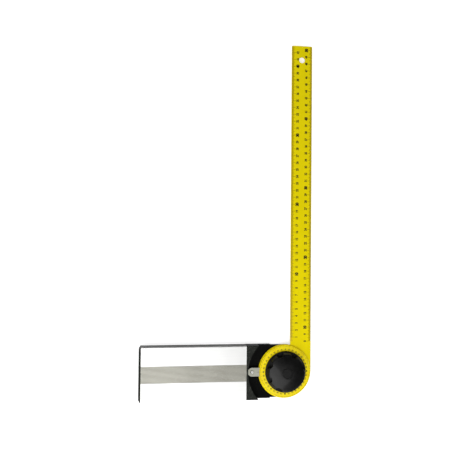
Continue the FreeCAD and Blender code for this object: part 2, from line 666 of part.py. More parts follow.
def blade():
    """Rule with a round end about the pivot, bevelled along both graduated edges."""
    body = new_body("blade")
    inner_edge = f"{HALF} - blade_width"
    strip = new_sketch(body, "blade_strip", level=BLADE_BACK)
    rectangle(strip, inner_edge, "0", HALF, BLADE_TIP)
    pad(body, strip, "blade_thick")
    tip = value(BLADE_TIP)
    dress(body, "Fillet", "Radius", "tip_round",
          lambda edge: runs_along(edge, "z") and edge.CenterOfMass.y > tip - 0.01)
    bevel = new_sketch(body, "bevels", "XZ_Plane", "-bevel_start")
    low = f"{BLADE_FACE} - bevel_drop"
    outline(bevel, [(HALF, BLADE_FACE), (HALF, low), (f"{HALF} - bevel_width", BLADE_FACE)])
    outline(bevel, [(inner_edge, BLADE_FACE), (inner_edge, low), (f"{inner_edge} + bevel_width", BLADE_FACE)])
    pocket(body, bevel, f"{BLADE_TIP} - bevel_start")
    round_end = new_sketch(body, "round_end", level=BLADE_BACK)
    circle(round_end, "0", "0", HALF)
    pad(body, round_end, "blade_thick")
    bores = new_sketch(body, "blade_bores", level=BLADE_BACK)
    circle(bores, "0", "0", BLADE_BORE)
    circle(bores, f"{HALF} - blade_width / 2", f"{BLADE_TIP} - hang_edge", "hang_radius")
    pocket(body, bores, "blade_thick", Reversed=True)
    rivet = new_sketch(body, "blade_rivet_hole", level=BLADE_BACK)
    circle(rivet, "rivet_circle", "0", "rivet_radius")
    first = pocket(body, rivet, "blade_thick", Reversed=True)
    around(body, [first], rivet, "rivets")


def dial_plate():
    """Round dial on the blade, with a chamfered edge and a well for the clamp washers."""
    body = new_body("dial_plate")
    section = new_sketch(body, "dial_section", "XZ_Plane")
    outline(section, [
        (BLADE_BORE, BLADE_FACE), (DIAL_RADIUS, BLADE_FACE), (DIAL_RADIUS, f"{DIAL_FACE} - dial_edge"),
        (f"{DIAL_RADIUS} - dial_edge", DIAL_FACE), (WELL_RADIUS, DIAL_FACE), (WELL_RADIUS, WELL_FLOOR),
        (BLADE_BORE, WELL_FLOOR)])
    revolve(body, section)
    hole = new_sketch(body, "dial_rivet_hole", level=WELL_FLOOR)
    circle(hole, "rivet_circle", "0", "rivet_radius")
    through = pocket(body, hole, "dial_thick - dial_recess")
    sink = new_sketch(body, "dial_rivet_sink", level=WELL_FLOOR)
    circle(sink, "rivet_circle", "0", "rivet_head")
    cone = pocket(body, sink, "rivet_head - rivet_radius", TaperAngle=-45)
    around(body, [through, cone], hole, "rivets")


def dial_rivets():
    """Flush rivets that hold the dial on the blade."""
    body = new_body("dial_rivets")
    flush = "dial_thick - dial_recess + blade_thick"
    rivet = turned(body, "rivet", "0", ("rivet_circle", BLADE_BACK), (0, 1), [
        ("0", "rivet_radius"), (f"{flush} - rivet_head + rivet_radius", "rivet_radius"),
        (flush, "rivet_head")])
    around(body, [rivet], rivet.Profile[0], "rivets", "V_Axis")


# ---- the knob ----------------------------------------------------------------------------------------

def knob():
    """Domed knob: a round rim, eight finger scallops, and a hub and ribs inside its hollow."""
    body = new_body("knob")
    grip_foot = "(knob_radius - knob_lip)"
    grip_edge = f"({grip_foot} - grip_draft)"
    shell = new_sketch(body, "knob_section", "XZ_Plane")
    outline(shell, [
        ("insert_radius", SPRING_TOP), (f"{PRESS_RADIUS} + press_gap", SPRING_TOP),
        (f"{PRESS_RADIUS} + press_gap", KNOB_RIM), ("knob_radius", KNOB_RIM),
        ("knob_radius", f"{KNOB_RIM} + knob_flange - knob_lip / 2", "knob_lip", 1),
        (grip_foot, f"{KNOB_RIM} + knob_flange"),
        (grip_edge, f"{KNOB_RIM} + grip_height", "grip_round", 1),
        (f"{grip_edge} - crown_edge", f"{KNOB_TOP} - crown_fall", "dome_radius", 1),
        ("cap_radius + cap_fit", KNOB_TOP), ("cap_radius + cap_fit", f"{KNOB_TOP} - cap_sink"),
        ("stem_radius + cap_fit", f"{KNOB_TOP} - cap_sink"), ("stem_radius + cap_fit", INSERT_TOP),
        ("insert_radius", INSERT_TOP)])
    revolve(body, shell)

    hub = "(insert_radius + hub_skin)"
    pan = "(scallop_circle - scallop_radius - knob_wall)"
    ceiling = f"{KNOB_TOP} - crown_fall - knob_wall"
    hollow = new_sketch(body, "knob_hollow", "XZ_Plane")
    outline(hollow, [
        (hub, KNOB_RIM), (pan, KNOB_RIM), (pan, ceiling), (hub, f"{KNOB_TOP} - knob_wall")])
    groove(body, hollow)

    scallop = new_sketch(body, "scallop", level=KNOB_TOP)
    circle(scallop, "scallop_circle * cos(scallop_turn * 1deg)", "scallop_circle * sin(scallop_turn * 1deg)",
           "scallop_radius")
    first = pocket(body, scallop, "knob_height - knob_flange")
    rib = new_sketch(body, "knob_rib_outline", level=f"{KNOB_RIM} + rib_rise")
    rectangle(rib, f"{hub} - slip", "-knob_rib / 2", f"{pan} + slip", "knob_rib / 2")
    inner_rib = pad(body, rib, "knob_height - rib_rise - crown_fall - slip")
    around(body, [first], scallop, "scallops")
    around(body, [inner_rib], rib, "scallops")


def knob_insert():
    """Threaded insert moulded into the hub of the knob."""
    body = new_body("knob_insert")
    section = new_sketch(body, "insert_outline", level=SPRING_TOP)
    circle(section, "0", "0", "insert_radius")
    circle(section, "0", "0", "bolt_radius + thread_fit")
    pad(body, section, "insert_length")


def knob_cap():
    """Press-in cap at the middle of the knob."""
    body = new_body("knob_cap")
    seat = f"{KNOB_TOP} - cap_sink"
    section = new_sketch(body, "cap_section", "XZ_Plane")
    outline(section, [
        ("0", f"{INSERT_TOP} + cap_fit"), ("stem_radius", f"{INSERT_TOP} + cap_fit"), ("stem_radius", seat),
        ("cap_radius", seat), ("cap_radius", f"{KNOB_TOP} + cap_rise - cap_bevel"),
        ("cap_radius - cap_bevel", f"{KNOB_TOP} + cap_rise"), ("0", f"{KNOB_TOP} + cap_rise")])
    revolve(body, section)


# ---- the pointer -------------------------------------------------------------------------------------

def pointer():
    """Steel reading pointer with a round end, hollowed to the edge of the dial."""
    body = new_body("pointer")
    plate = new_sketch(body, "pointer_plate", level=POINTER_BACK)
    rectangle(plate, f"-{POINTER_EYE}", "-pointer_width / 2", f"-{DIAL_RADIUS}", "pointer_width / 2")
    pad(body, plate, "pointer_thick")
    end = new_sketch(body, "pointer_end", level=POINTER_BACK)
    circle(end, f"-{POINTER_EYE}", "0", "pointer_width / 2")
    pad(body, end, "pointer_thick")
    cuts = new_sketch(body, "pointer_cuts", level=DIAL_FACE)
    circle(cuts, "0", "0", POINTER_TIP)
    circle(cuts, f"-{POINTER_EYE}", "0", "pointer_screw + screw_clear")
    pocket(body, cuts, "pointer_thick")


def pointer_screw():
    """Small pan-head screw that holds the pointer on its boss."""
    body = new_body("pointer_screw")
    top = f"{DIAL_FACE} + pointer_screw_high"
    place = f"-{POINTER_EYE}"
    turned(body, "small_screw", "0", (place, top), (0, -1), [
        ("0", "pointer_screw_head * 0.75"), ("pointer_screw_high / 2", "pointer_screw_head"),
        ("pointer_screw_high", "pointer_screw_head"), ("pointer_screw_high", "pointer_screw"),
        ("pointer_screw_high + pointer_screw_long", "pointer_screw")])
    slot = new_sketch(body, "small_screw_recess", level=top)
    cross(slot, place, "0")
    pocket(body, slot, "recess_depth")


# ---- build, check and write --------------------------------------------------------------------------

stock_extrusion()
end_cap()
end_cap_screws()
pivot_head()
head_screws()
pivot_bush()
clamp_bolt()
rear_cover()
flat_ring("lower_friction_washer", WASHER_INNER, "washer_outer", "floor_level", "washer_thick")
blade()
dial_plate()
dial_rivets()
flat_ring("upper_friction_washer", WASHER_INNER, "upper_washer_outer", WELL_FLOOR, "washer_thick")
flat_ring("clamp_washer", "bolt_radius + bolt_play", PRESS_RADIUS, PRESS_BACK, "press_thick")
spring_washer()
knob()
knob_insert()
knob_cap()
pointer()
pointer_screw()

doc.recompute()
failed = [thing.Label for thing in doc.Objects if {"Invalid", "Error"} & set(thing.State)]
if failed:
    raise RuntimeError("not built: " + ", ".join(failed))
bodies = [thing for thing in doc.Objects if thing.TypeId == "PartDesign::Body"]
for body in bodies:
    if body.Shape.isNull() or not body.Shape.isValid():
        raise RuntimeError("bad shape: " + body.Label)
os.makedirs("parts", exist_ok=True)
for body in bodies:
    body.Shape.exportStep("parts/%s.step" % body.Label)
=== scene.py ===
"""Bevel protractor: finishes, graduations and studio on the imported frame."""
import math

import bmesh
import bpy
from bpy.props import FloatProperty, FloatVectorProperty, IntProperty, PointerProperty
from mathutils import Euler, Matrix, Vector


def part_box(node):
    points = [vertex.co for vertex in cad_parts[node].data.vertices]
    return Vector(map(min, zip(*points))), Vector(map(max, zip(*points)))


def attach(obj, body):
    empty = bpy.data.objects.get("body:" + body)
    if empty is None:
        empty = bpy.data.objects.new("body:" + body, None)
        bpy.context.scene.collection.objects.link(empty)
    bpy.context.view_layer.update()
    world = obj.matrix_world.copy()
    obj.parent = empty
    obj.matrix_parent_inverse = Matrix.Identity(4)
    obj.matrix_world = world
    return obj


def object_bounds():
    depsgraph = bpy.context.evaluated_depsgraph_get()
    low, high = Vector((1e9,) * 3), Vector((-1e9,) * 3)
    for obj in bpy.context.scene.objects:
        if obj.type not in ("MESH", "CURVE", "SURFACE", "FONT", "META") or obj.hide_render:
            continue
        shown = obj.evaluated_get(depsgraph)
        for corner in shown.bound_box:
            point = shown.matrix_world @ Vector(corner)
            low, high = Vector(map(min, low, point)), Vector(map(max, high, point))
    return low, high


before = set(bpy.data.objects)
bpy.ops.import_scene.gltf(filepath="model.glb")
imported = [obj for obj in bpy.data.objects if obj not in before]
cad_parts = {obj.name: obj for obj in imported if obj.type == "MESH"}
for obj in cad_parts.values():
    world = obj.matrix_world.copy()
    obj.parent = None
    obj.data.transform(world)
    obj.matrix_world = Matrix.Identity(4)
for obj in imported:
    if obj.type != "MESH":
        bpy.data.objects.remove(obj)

bl_info = {
    "name": "Bevel protractor",
    "version": (1, 0, 0),
    "blender": (4, 5, 0),
    "location": "3D View > Sidebar > Protractor",
    "description": "Finishes, graduations and studio of a bevel protractor with a 50 cm rule",
    "category": "Object",
}

CAD_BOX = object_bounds()
_, BLADE_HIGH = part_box("blade")
_, DIAL_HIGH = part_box("dial_plate")
_, STOCK_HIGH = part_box("stock_extrusion")
_, POINTER_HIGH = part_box("pointer")

MILLIMETRE = 0.001
CENTIMETRE = 0.01
INK_LIFT = 0.00003  # metres from a face to the marks printed on it
BAND_HALF = 11.6  # millimetres from the middle of the stock to the edge of its grooved bands


# ---------------------------------------------------------------- settings

class RuleScales(bpy.types.PropertyGroup):
    """Sizes of the two centimetre scales on the blade."""
    width: FloatProperty(
        name="Blade width", description="Across the straight part of the blade",
        default=0.030, unit="LENGTH")
    bevel: FloatProperty(
        name="Bevel width", description="Each bevelled edge, across the blade",
        default=0.0037, unit="LENGTH")
    drop: FloatProperty(
        name="Bevel drop", description="Each bevelled edge, face to edge",
        default=0.0007, unit="LENGTH")
    outer_zero: FloatProperty(
        name="Outer zero", description="Where the outer scale begins, along the blade",
        default=-0.038, unit="LENGTH")
    outer_first: IntProperty(
        name="Outer first", description="First centimetre marked on the outer edge",
        default=8)
    outer_last: IntProperty(
        name="Outer last", description="Last centimetre marked on the outer edge",
        default=50)
    inner_zero: FloatProperty(
        name="Inner zero", description="Where the inner scale begins, along the blade",
        default=0.038, unit="LENGTH")
    inner_first: IntProperty(
        name="Inner first", description="First centimetre marked on the inner edge",
        default=1)
    inner_last: IntProperty(
        name="Inner last", description="Last centimetre marked on the inner edge",
        default=42)
    line: FloatProperty(
        name="Line width", description="Width of a graduation line",
        default=0.00026, unit="LENGTH")
    bold_line: FloatProperty(
        name="Bold line", description="How many times wider a centimetre line is",
        default=1.25, subtype="FACTOR")
    line_long: FloatProperty(
        name="Centimetre line", description="Edge of the blade to the end of a centimetre line",
        default=0.0062, unit="LENGTH")
    line_past: FloatProperty(
        name="Half line", description="Length of a half-centimetre line past the bevel",
        default=0.0008, unit="LENGTH")
    line_share: FloatProperty(
        name="Millimetre line", description="Share of the bevel that a millimetre line covers",
        default=0.72, subtype="FACTOR")
    edge_room: FloatProperty(
        name="Edge room", description="Edge of the blade to the start of a line",
        default=0.0002, unit="LENGTH")
    tip_room: FloatProperty(
        name="Tip room", description="Tip of the blade to the last possible line",
        default=0.0012, unit="LENGTH")
    number_high: FloatProperty(
        name="Number height", description="Height of the centimetre numbers",
        default=0.0038, unit="LENGTH")
    number_inset: FloatProperty(
        name="Number inset", description="Edge of the blade to the middle of a number",
        default=0.0087, unit="LENGTH")
    bold_number: FloatProperty(
        name="Bold number", description="How many times higher the tens are",
        default=1.3, subtype="FACTOR")
    weight: FloatProperty(
        name="Weight", description="Added thickness of the numbers, in letter heights",
        default=0.045, subtype="FACTOR")
    bold_weight: FloatProperty(
        name="Bold weight", description="Added thickness of the tens, in letter heights",
        default=0.075, subtype="FACTOR")
    narrow: FloatProperty(
        name="Number width", description="Width of the numbers against their natural width",
        default=0.88, subtype="FACTOR")


class DialScale(bpy.types.PropertyGroup):
    """Sizes of the degree scale on the dial and of the line on the pointer."""
    line_outer: FloatProperty(
        name="Lines outside", description="Pivot to the outer ends of the degree lines",
        default=0.0362, unit="LENGTH")
    line_short: FloatProperty(
        name="Degree line", description="Length of a one-degree line",
        default=0.0013, unit="LENGTH")
    line_middle: FloatProperty(
        name="Five-degree line", description="Length of a five-degree line",
        default=0.0019, unit="LENGTH")
    line_long: FloatProperty(
        name="Ten-degree line", description="Length of a ten-degree line",
        default=0.0026, unit="LENGTH")
    line: FloatProperty(
        name="Line width", description="Width of a degree line",
        default=0.00011, unit="LENGTH")
    bold_line: FloatProperty(
        name="Bold line", description="How many times wider a ten-degree line is",
        default=1.4, subtype="FACTOR")
    number_ring: FloatProperty(
        name="Number ring", description="Pivot to the middle of the degree numbers",
        default=0.0313, unit="LENGTH")
    number_high: FloatProperty(
        name="Number height", description="Height of the degree numbers",
        default=0.0023, unit="LENGTH")
    weight: FloatProperty(
        name="Weight", description="Added thickness of the numbers, in letter heights",
        default=0.015, subtype="FACTOR")
    quarter_weight: FloatProperty(
        name="Quarter weight", description="Added thickness of 0, 90 and 180, in letter heights",
        default=0.05, subtype="FACTOR")
    narrow: FloatProperty(
        name="Number width", description="Width of the numbers against their natural width",
        default=0.88, subtype="FACTOR")
    narrow_hundreds: FloatProperty(
        name="Hundreds width", description="Width of the numbers from 100 on, likewise",
        default=0.74, subtype="FACTOR")
    index_long: FloatProperty(
        name="Index line", description="Length of the line on the pointer",
        default=0.0035, unit="LENGTH")
    index_room: FloatProperty(
        name="Index room", description="Tip of the pointer to its line",
        default=0.0003, unit="LENGTH")
    index_wide: FloatProperty(
        name="Index width", description="Width of the line on the pointer",
        default=0.0004, unit="LENGTH")


class Finishes(bpy.types.PropertyGroup):
    """Colours of the finishes."""
    lacquer: FloatVectorProperty(
        name="Rule lacquer", description="Yellow lacquer of the blade",
        subtype="COLOR", size=4, default=(0.80, 0.665, 0.0, 1))
    dial: FloatVectorProperty(
        name="Dial yellow", description="Moulded yellow of the dial",
        subtype="COLOR", size=4, default=(0.92, 0.76, 0.002, 1))
    aluminium: FloatVectorProperty(
        name="Aluminium", description="Satin anodised aluminium",
        subtype="COLOR", size=4, default=(0.91, 0.91, 0.90, 1))
    # Groove tone: painted shade that darkens the grooves of the stock
    groove: FloatVectorProperty(
        name="Groove tone", description="Oxide and dust in the grooves of the stock",
        subtype="COLOR", size=4, default=(0.20, 0.19, 0.155, 1))
    moulding: FloatVectorProperty(
        name="Black moulding", description="Textured black plastic",
        subtype="COLOR", size=4, default=(0.0022, 0.0023, 0.0022, 1))
    knob: FloatVectorProperty(
        name="Knob black", description="Polished black plastic",
        subtype="COLOR", size=4, default=(0.0012, 0.0012, 0.0010, 1))
    zinc: FloatVectorProperty(
        name="Zinc", description="Zinc plated steel",
        subtype="COLOR", size=4, default=(0.62, 0.62, 0.60, 1))
    steel: FloatVectorProperty(
        name="Steel", description="Turned bright steel",
        subtype="COLOR", size=4, default=(0.50, 0.50, 0.50, 1))
    spring: FloatVectorProperty(
        name="Spring steel", description="Blued spring steel",
        subtype="COLOR", size=4, default=(0.16, 0.17, 0.21, 1))
    fibre: FloatVectorProperty(
        name="Fibre", description="Vulcanised fibre washers",
        subtype="COLOR", size=4, default=(0.26, 0.09, 0.045, 1))
    brass: FloatVectorProperty(
        name="Brass", description="Turned brass insert",
        subtype="COLOR", size=4, default=(0.70, 0.50, 0.22, 1))
    pointer: FloatVectorProperty(
        name="Pointer", description="Matt silver pointer",
        subtype="COLOR", size=4, default=(0.40, 0.40, 0.335, 1))
    ink: FloatVectorProperty(
        name="Ink", description="Printed numbers and lines",
        subtype="COLOR", size=4, default=(0.012, 0.010, 0.004, 1))


class Studio(bpy.types.PropertyGroup):
    """Camera, lamps, room and floor."""
    lens: FloatProperty(
        name="Lens", description="Focal length",
        default=48.0, unit="CAMERA")
    turn: FloatVectorProperty(
        name="Turn", description="Turn of the protractor as the camera sees it",
        subtype="EULER", default=tuple(math.radians(angle) for angle in (-1.662, 8.34, -0.804)))
    stand: FloatVectorProperty(
        name="Stand", description="The pivot as the camera sees it",
        subtype="XYZ", unit="LENGTH", default=(0.084785, -0.207885, -0.85391))
    pivot_high: FloatProperty(
        name="Pivot height", description="Height of the point that the camera is set to",
        default=0.010, unit="LENGTH")
    key: FloatProperty(
        name="Key lamp", description="Power of the large soft lamp",
        default=11.6, unit="POWER")
    key_size: FloatProperty(
        name="Key size", description="Side of the large soft lamp",
        default=1.20, unit="LENGTH")
    key_place: FloatVectorProperty(
        name="Key place", description="Where the large soft lamp hangs",
        subtype="XYZ", unit="LENGTH", default=(-0.40, -0.43, 0.86))
    key_aim: FloatVectorProperty(
        name="Key aim", description="The point that the large soft lamp is turned to",
        subtype="XYZ", unit="LENGTH", default=(-0.06, -0.03, 0.0))
    fill: FloatProperty(
        name="Fill lamp", description="Power of the lamp on the other side",
        default=0.25, unit="POWER")
    fill_size: FloatProperty(
        name="Fill size", description="Side of the lamp on the other side",
        default=0.80, unit="LENGTH")
    fill_place: FloatVectorProperty(
        name="Fill place", description="Where the lamp on the other side hangs",
        subtype="XYZ", unit="LENGTH", default=(0.60, 0.45, 0.70))
    fill_aim: FloatVectorProperty(
        name="Fill aim", description="The point that the lamp on the other side is turned to",
        subtype="XYZ", unit="LENGTH", default=(0.0, 0.15, 0.0))
    around: FloatProperty(
        name="Surroundings", description="Brightness of the room on the object",
        default=0.45, subtype="FACTOR")
    window: FloatVectorProperty(
        name="Window", description="The way to the side of the room that shines in glossy surfaces",
        subtype="DIRECTION", default=(-0.6, -0.8, 0.0))
    floor_size: FloatProperty(
        name="Floor", description="Side of the floor",
        default=9.0, unit="LENGTH")
    floor_drop: FloatProperty(
        name="Floor drop", description="Lowest point of the protractor to the floor",
        default=0.0002, unit="LENGTH")
    floor_glow: FloatProperty(
        name="Floor glow", description="Light that keeps the floor white to the eye",
        default=0.60, subtype="FACTOR")


# ------------------------------------------------------------- node helpers

class Net:
    """A node tree that is being wired, of a material or of a shared effect."""

    def __init__(self, tree):
        self.tree = tree

    def add(self, kind, inputs=None, **choices):
        node = self.tree.nodes.new("ShaderNode" + kind)
        for name, value in choices.items():
            setattr(node, name, value)
        for name, value in (inputs or {}).items():
            self.feed(node.inputs[name], value)
        return node

    def feed(self, socket, value):
        if isinstance(value, bpy.types.NodeSocket):
            self.tree.links.new(value, socket)
        else:
            socket.default_value = value

    def math(self, operation, *values, clamp=False):
        node = self.add("Math", operation=operation, use_clamp=clamp)
        for socket, value in zip(node.inputs, values):
            self.feed(socket, value)
        return node.outputs[0]

    def vector(self, operation, *values):
        node = self.add("VectorMath", operation=operation)
        for socket, value in zip(node.inputs, values):
            self.feed(socket, value)
        return node.outputs["Value" if operation in ("LENGTH", "DOT_PRODUCT") else "Vector"]

    def parts(self, vector):
        """The X, Y and Z of a vector."""
        return self.add("SeparateXYZ", {0: vector}).outputs

    def from_axis(self, place):
        """Distance from the pivot axis."""
        return self.vector("LENGTH", self.vector("MULTIPLY", place, (1.0, 1.0, 0.0)))

    def spread(self, value, low, high, to_low=0.0, to_high=1.0):
        """value from low..high to to_low..to_high, smoothly and without going beyond."""
        node = self.add("MapRange", {"Value": value, "From Min": low, "From Max": high, "To Min": to_low,
                                     "To Max": to_high}, interpolation_type="SMOOTHSTEP")
        return node.outputs["Result"]

    def noise(self, place, scale, detail=2.0, roughness=0.5):
        node = self.add("TexNoise", {"Vector": place, "Scale": scale, "Detail": detail,
                                     "Roughness": roughness})
        return node.outputs["Fac"]

    def blend(self, factor, first, second):
        """first, going over to second as factor rises. Inputs 6 and 7 and output 2 are the node's colours."""
        node = self.add("Mix", data_type="RGBA")
        self.feed(node.inputs[0], factor)
        self.feed(node.inputs[6], first)
        self.feed(node.inputs[7], second)
        return node.outputs[2]

    def effect(self, name, **inputs):
        node = self.add("Group")
        node.node_tree = bpy.data.node_groups[name]
        for socket, value in inputs.items():
            self.feed(node.inputs[socket.replace("_", " ")], value)
        return node.outputs


def new_effect(name, inputs, outputs):
    """A shared effect with named inputs and outputs: (its net, its input sockets, its output sockets)."""
    tree = bpy.data.node_groups.new(name, "ShaderNodeTree")
    for label, kind, default in inputs:
        socket = tree.interface.new_socket(name=label, in_out="INPUT", socket_type="NodeSocket" + kind)
        if default is not None:
            socket.default_value = default
    for label in outputs:
        tree.interface.new_socket(name=label, in_out="OUTPUT", socket_type="NodeSocketFloat")
    return Net(tree), tree.nodes.new("NodeGroupInput").outputs, tree.nodes.new("NodeGroupOutput").inputs


def moulded_grain():
    """Spark-eroded texture of a mould: a fine pebbled height and sparse lighter specks."""
    wanted = (("Place", "Vector", None), ("Size", "Float", 0.5))
    net, given, made = new_effect("moulded grain", wanted, ("Height", "Specks"))
    fine = net.math("DIVIDE", 1.0, given["Size"])
    pebbles = net.noise(given["Place"], fine, 2.5, 0.62)
    coarse = net.noise(given["Place"], net.math("MULTIPLY", fine, 0.31), 1.0)
    net.feed(made["Height"], net.math("MULTIPLY_ADD", pebbles, 0.75, net.math("MULTIPLY", coarse, 0.25)))
    net.feed(made["Specks"], net.spread(pebbles, 0.56, 0.74))


def tool_streaks():
    """Fine lines left along one direction by a die, a roll or a brush."""
    wanted = (("Place", "Vector", None), ("Along", "Vector", (0.02, 1.0, 1.0)), ("Width", "Float", 0.3))
    net, given, made = new_effect("tool streaks", wanted, ("Height", "Bands"))
    drawn = net.vector("MULTIPLY", given["Place"], given["Along"])
    lines = net.noise(drawn, net.math("DIVIDE", 1.0, given["Width"]), 3.0, 0.6)
    bands = net.noise(drawn, net.math("DIVIDE", 0.12, given["Width"]), 1.5)
    net.feed(made["Height"], lines)
    net.feed(made["Bands"], net.spread(bands, 0.3, 0.7))


def turned_lines():
    """Concentric lines left by a lathe round the pivot axis."""
    wanted = (("Place", "Vector", None), ("Pitch", "Float", 0.15))
    net, given, made = new_effect("turned lines", wanted, ("Height",))
    rings = net.math("DIVIDE", net.from_axis(given["Place"]), given["Pitch"])
    wave = net.math("SINE", net.math("MULTIPLY", rings, math.tau))
    uneven = net.noise(given["Place"], 0.8, 2.0)
    net.feed(made["Height"], net.math("MULTIPLY_ADD", wave, 0.25, uneven))


def rubbed_edges():
    """Where an outer edge has been rubbed bright, broken up along its length."""
    wanted = (("Place", "Vector", None), ("Reach", "Float", 0.0004), ("Break", "Float", 0.6))
    net, given, made = new_effect("rubbed edges", wanted, ("Mask",))
    bevel = net.add("Bevel", {"Radius": given["Reach"]}, samples=4)
    normal = net.add("NewGeometry").outputs["Normal"]
    off = net.math("SUBTRACT", 1.0, net.vector("DOT_PRODUCT", bevel.outputs[0], normal))
    edge = net.spread(off, 0.02, 0.16)
    patchy = net.noise(given["Place"], 0.9, 4.0, 0.65)
    broken = net.spread(patchy, given["Break"], net.math("ADD", given["Break"], 0.12))
    net.feed(made["Mask"], net.math("MULTIPLY", edge, broken, clamp=True))


def handling():
    """Uneven polish from hands: broad soft patches and a few fine scuffs."""
    wanted = (("Place", "Vector", None), ("Patch", "Float", 18.0))
    net, given, made = new_effect("handling", wanted, ("Patches", "Scuffs"))
    patches = net.noise(given["Place"], net.math("DIVIDE", 1.0, given["Patch"]), 3.0, 0.55)
    net.feed(made["Patches"], net.spread(patches, 0.32, 0.68))
    slanted = net.vector("MULTIPLY", given["Place"], (1.7, 0.09, 0.6))
    scuffs = net.noise(slanted, 1.6, 5.0, 0.7)
    net.feed(made["Scuffs"], net.spread(scuffs, 0.63, 0.72))


EFFECTS = {"moulded grain": moulded_grain, "tool streaks": tool_streaks, "turned lines": turned_lines,
           "rubbed edges": rubbed_edges, "handling": handling}


def ready_effects():
    """Makes the shared effects once."""
    for name, maker in EFFECTS.items():
        if name not in bpy.data.node_groups:
            maker()


# ---------------------------------------------------------------- finishes

def new_finish(name, colour, roughness, **steady):
    """A material with its shader: (material, net, shader, place in millimetres)."""
    material = bpy.data.materials.new(name)
    material.use_nodes = True
    net = Net(material.node_tree)
    net.tree.nodes.clear()
    shader = net.add("BsdfPrincipled", {"Base Color": colour, "Roughness": roughness})
    for socket, value in steady.items():
        shader.inputs[socket.replace("_", " ")].default_value = value
    net.add("OutputMaterial", {"Surface": shader.outputs[0]})
    here = net.add("TexCoord").outputs["Object"]
    place = net.add("VectorMath", {0: here, "Scale": 1 / MILLIMETRE}, operation="SCALE").outputs[0]
    return material, net, shader, place


def bump(net, shader, *layers):
    """Layers of (height, strength, depth in metres) on the shader's normal."""
    normal = None
    for height, strength, depth in layers:
        node = net.add("Bump", {"Height": height, "Strength": strength, "Distance": depth})
        if normal:
            net.feed(node.inputs["Normal"], normal)
        normal = node.outputs[0]
    net.feed(shader.inputs["Normal"], normal)


def toned(colour, *factors):
    """colour times one factor, or times a factor for each of red, green and blue."""
    if len(factors) == 1:
        factors = factors * 3
    return tuple(c * factor for c, factor in zip(colour, factors)) + (1.0,)


def lacquered_rule(colour):
    """Yellow lacquer rolled over aluminium: rolling lines, patches of polish, bare metal at rubbed edges.

    The bevels and walls, which lie under the face, are darkened to a browner tone with painted shade.
    """
    bare_metal = (0.72, 0.70, 0.62, 1)
    face = BLADE_HIGH.z / MILLIMETRE
    material, net, shader, place = new_finish("rule lacquer", colour, 0.34, Specular_IOR_Level=0.06,
                                              Coat_Roughness=0.16)
    worn = net.effect("rubbed edges", Place=place, Reach=0.00025, Break=0.60)["Mask"]
    hands = net.effect("handling", Place=place, Patch=26.0)
    lines = net.effect("tool streaks", Place=place, Along=(1.0, 0.03, 1.0), Width=0.35)
    # below: mask of the bevels and walls under the face, where the painted shade goes
    below = net.spread(net.parts(place)["Z"], face - 0.10, face - 0.02, 1.0, 0.0)
    body = net.blend(hands["Patches"], toned(colour, 0.94), colour)
    body = net.blend(net.math("MULTIPLY", lines["Bands"], 0.35), body, toned(colour, 0.90))
    # painted shade: a darker, browner copy of the lacquer laid on the bevels and walls
    body = net.blend(net.math("MULTIPLY", below, 0.9), body, toned(colour, 0.77, 0.70, 0.0))
    net.feed(shader.inputs["Base Color"], net.blend(worn, body, bare_metal))
    net.feed(shader.inputs["Metallic"], net.math("MULTIPLY", worn, 0.9))
    rough = net.math("MULTIPLY_ADD", hands["Patches"], 0.10, 0.27)
    net.feed(shader.inputs["Roughness"], net.math("MULTIPLY_ADD", hands["Scuffs"], 0.10, rough))
    net.feed(shader.inputs["Coat Weight"], net.math("SUBTRACT", 0.06, net.math("MULTIPLY", worn, 0.06)))
    bump(net, shader, (lines["Height"], 0.25, 0.00003), (hands["Scuffs"], 0.15, 0.00002))
    return material


def moulded_dial(colour):
    """Yellow dial moulding: semi-gloss, deeper yellow in patches, faint specks and paler rubbed edges."""
    pale_edge = (0.92, 0.84, 0.16, 1)
    material, net, shader, place = new_finish("dial moulding", colour, 0.26, Specular_IOR_Level=0.22)
    grain = net.effect("moulded grain", Place=place, Size=0.30)
    hands = net.effect("handling", Place=place, Patch=9.0)
    worn = net.effect("rubbed edges", Place=place, Reach=0.0004, Break=0.5)["Mask"]
    body = net.blend(hands["Patches"], toned(colour, 0.95, 0.88, 0.0), colour)
    body = net.blend(net.math("MULTIPLY", grain["Specks"], 0.12), body, toned(colour, 0.8))
    net.feed(shader.inputs["Base Color"], net.blend(worn, body, pale_edge))
    net.feed(shader.inputs["Roughness"], net.math("MULTIPLY_ADD", hands["Patches"], 0.08, 0.20))
    bump(net, shader, (grain["Height"], 0.12, 0.00003))
    return material


